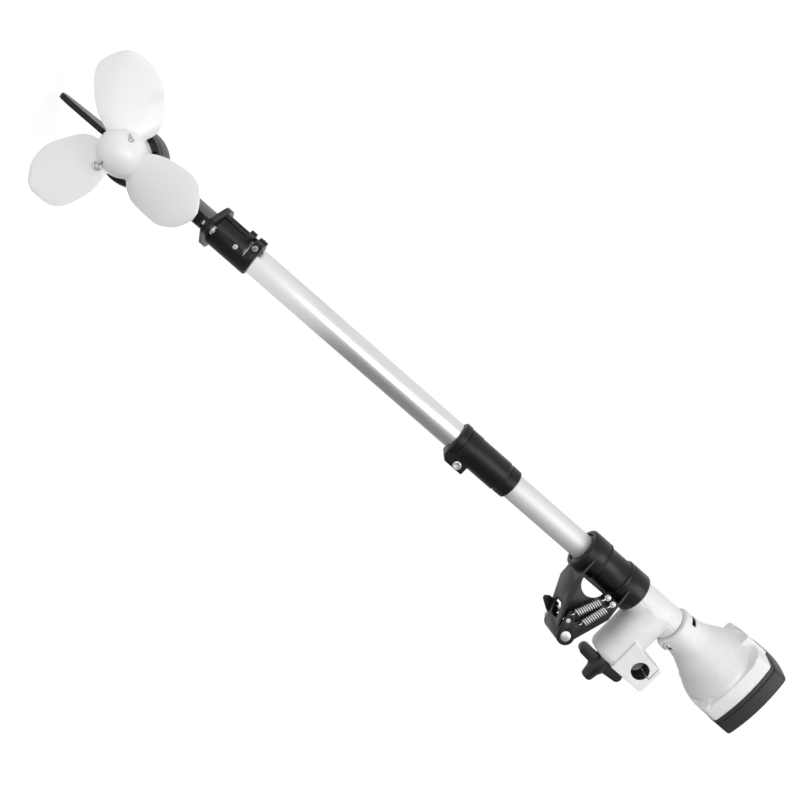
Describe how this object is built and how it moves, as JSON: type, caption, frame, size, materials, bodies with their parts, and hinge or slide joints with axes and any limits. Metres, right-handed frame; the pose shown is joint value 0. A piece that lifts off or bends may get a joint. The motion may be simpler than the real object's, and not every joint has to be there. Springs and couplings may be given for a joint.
{
  "type": "outboard motor bracket",
  "caption": "Long-shaft outboard leg with white three-blade propeller, sprung swivel bracket, tiller clamp and clutch bell.",
  "frame": {"origin": "centre of the engine face, on the shaft tube's axis", "axes": "+Z out of the engine face along the shaft tube, +X towards the tilt hinge, -Y the side that the propeller faces"},
  "size_m": [0.1717, 0.1127, 0.892],
  "materials": {
    "black_paint": "gloss",
    "black_plastic": "satin",
    "cast_alloy": "cast, satin",
    "lower_alloy_tube": "polished",
    "upper_alloy_tube": "satin",
    "zinc_steel": "satin",
    "nylon": "matte",
    "seal_rubber": "matte",
    "white_plastic": "gloss"
  },
  "bodies": {
    "pivot": {"hinge_pin": "zinc_steel", "hinge_pin_clip": "zinc_steel"},
    "bracket": {"swivel_arm": "black_paint", "hinge_barrel": "black_paint", "swivel_housing": "black_paint", "swivel_bushes": "nylon", "spring_studs": "zinc_steel", "lower_latch_spring": "zinc_steel", "upper_latch_spring": "zinc_steel"},
    "latch": {"latch_arm": "black_paint", "latch_cross_rod": "zinc_steel", "latch_hook": "black_paint"},
    "leg": {"swivel_stop_ring": "black_paint", "leg_casting": "black_paint", "gear_head_cover": "black_paint", "shaft_seal": "seal_rubber", "tube_socket": "black_paint", "socket_screws": "zinc_steel", "flange_bolts": "zinc_steel", "flange_nuts": "zinc_steel", "lower_tube": "lower_alloy_tube", "upper_tube": "upper_alloy_tube", "tube_coupler": "black_paint", "coupler_screw": "zinc_steel", "tiller_head": "cast_alloy", "tiller_head_screws": "zinc_steel", "wing_screw_washer": "zinc_steel", "clutch_bell": "cast_alloy", "bell_neck_screw": "zinc_steel", "bell_bearing": "zinc_steel", "bell_bearing_clip": "zinc_steel", "pad_plate": "black_plastic", "engine_pad": "black_plastic", "drive_shaft_bushes": "nylon", "pinion_bearings": "zinc_steel", "propeller_bearing": "zinc_steel"},
    "wing": {"wing_screw": "black_plastic"},
    "drive": {"drive_shaft": "zinc_steel", "pinion_gear": "zinc_steel", "clutch_drum": "zinc_steel"},
    "propeller": {"propeller": "white_plastic", "propeller_shaft": "zinc_steel", "bevel_gear": "zinc_steel", "shear_pin": "zinc_steel"}
  },
  "joints": [
    {"name": "tilt", "type": "hinge", "parent": "pivot", "child": "bracket", "pos_m": [0.0777, -0.002, -0.1947], "axis": [0, 1, 0], "range_deg": [0, 70]},
    {"name": "latch_rock", "type": "hinge", "parent": "bracket", "child": "latch", "pos_m": [0.0777, -0.002, -0.1947], "axis": [0, -1, 0], "range_deg": [0, 7], "stiffness_Nm_per_rad": 0.5, "springref_deg": -17.19, "deforming": ["lower_latch_spring", "upper_latch_spring"]},
    {"name": "steer", "type": "hinge", "parent": "bracket", "child": "leg", "pos_m": [0, 0, -0.194], "axis": [0, 0, 1], "continuous": true},
    {"name": "wing_screw_turn", "type": "hinge", "parent": "leg", "child": "wing", "pos_m": [0.04951, 0.00696, -0.1308], "axis": [0.9903, 0.1392, 0], "continuous": true},
    {"name": "drive_spin", "type": "hinge", "parent": "leg", "child": "drive", "pos_m": [0, 0, -0.4], "axis": [0, 0, 1], "continuous": true},
    {"name": "propeller_spin", "type": "hinge", "parent": "leg", "child": "propeller", "pos_m": [0.00557, -0.03961, -0.809], "axis": [0.1392, -0.9903, 0], "continuous": true}
  ],
  "couplings": [
    {"joint": "propeller_spin", "follows": "drive_spin", "ratio": 0.7}
  ]
}
